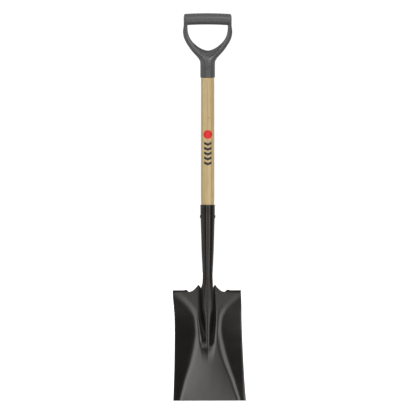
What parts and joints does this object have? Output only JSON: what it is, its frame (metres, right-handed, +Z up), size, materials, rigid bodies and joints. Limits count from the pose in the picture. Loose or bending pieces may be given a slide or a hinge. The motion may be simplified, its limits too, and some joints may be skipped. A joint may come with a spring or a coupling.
{
  "type": "garden spade",
  "caption": "Digging spade: pressed steel blade with turned treads and a rolled open-back socket, riveted to a straight ash shaft with a moulded D-shaped hand grip.",
  "frame": {"origin": "middle of the cutting edge, at the bottom of the blade", "axes": "+Z up along the shaft, +Y towards the back of the blade, +X across the blade; the dished face looks towards -Y and the shaft's axis is the line x = 0, y = 0.0337 m"},
  "size_m": [0.1922, 0.0638, 1.016],
  "materials": {
    "coated_steel": "smooth black coating, semi-gloss",
    "ash": "fine sanded pale ash with a thin clear coat",
    "grey_plastic": "moulded dark grey, satin",
    "rivet_steel": "dark steel, dull"
  },
  "bodies": {
    "root": {"blade": "coated_steel", "shaft": "ash", "grip": "grey_plastic", "socket_rivet": "rivet_steel", "grip_rivet": "rivet_steel"}
  },
  "joints": []
}
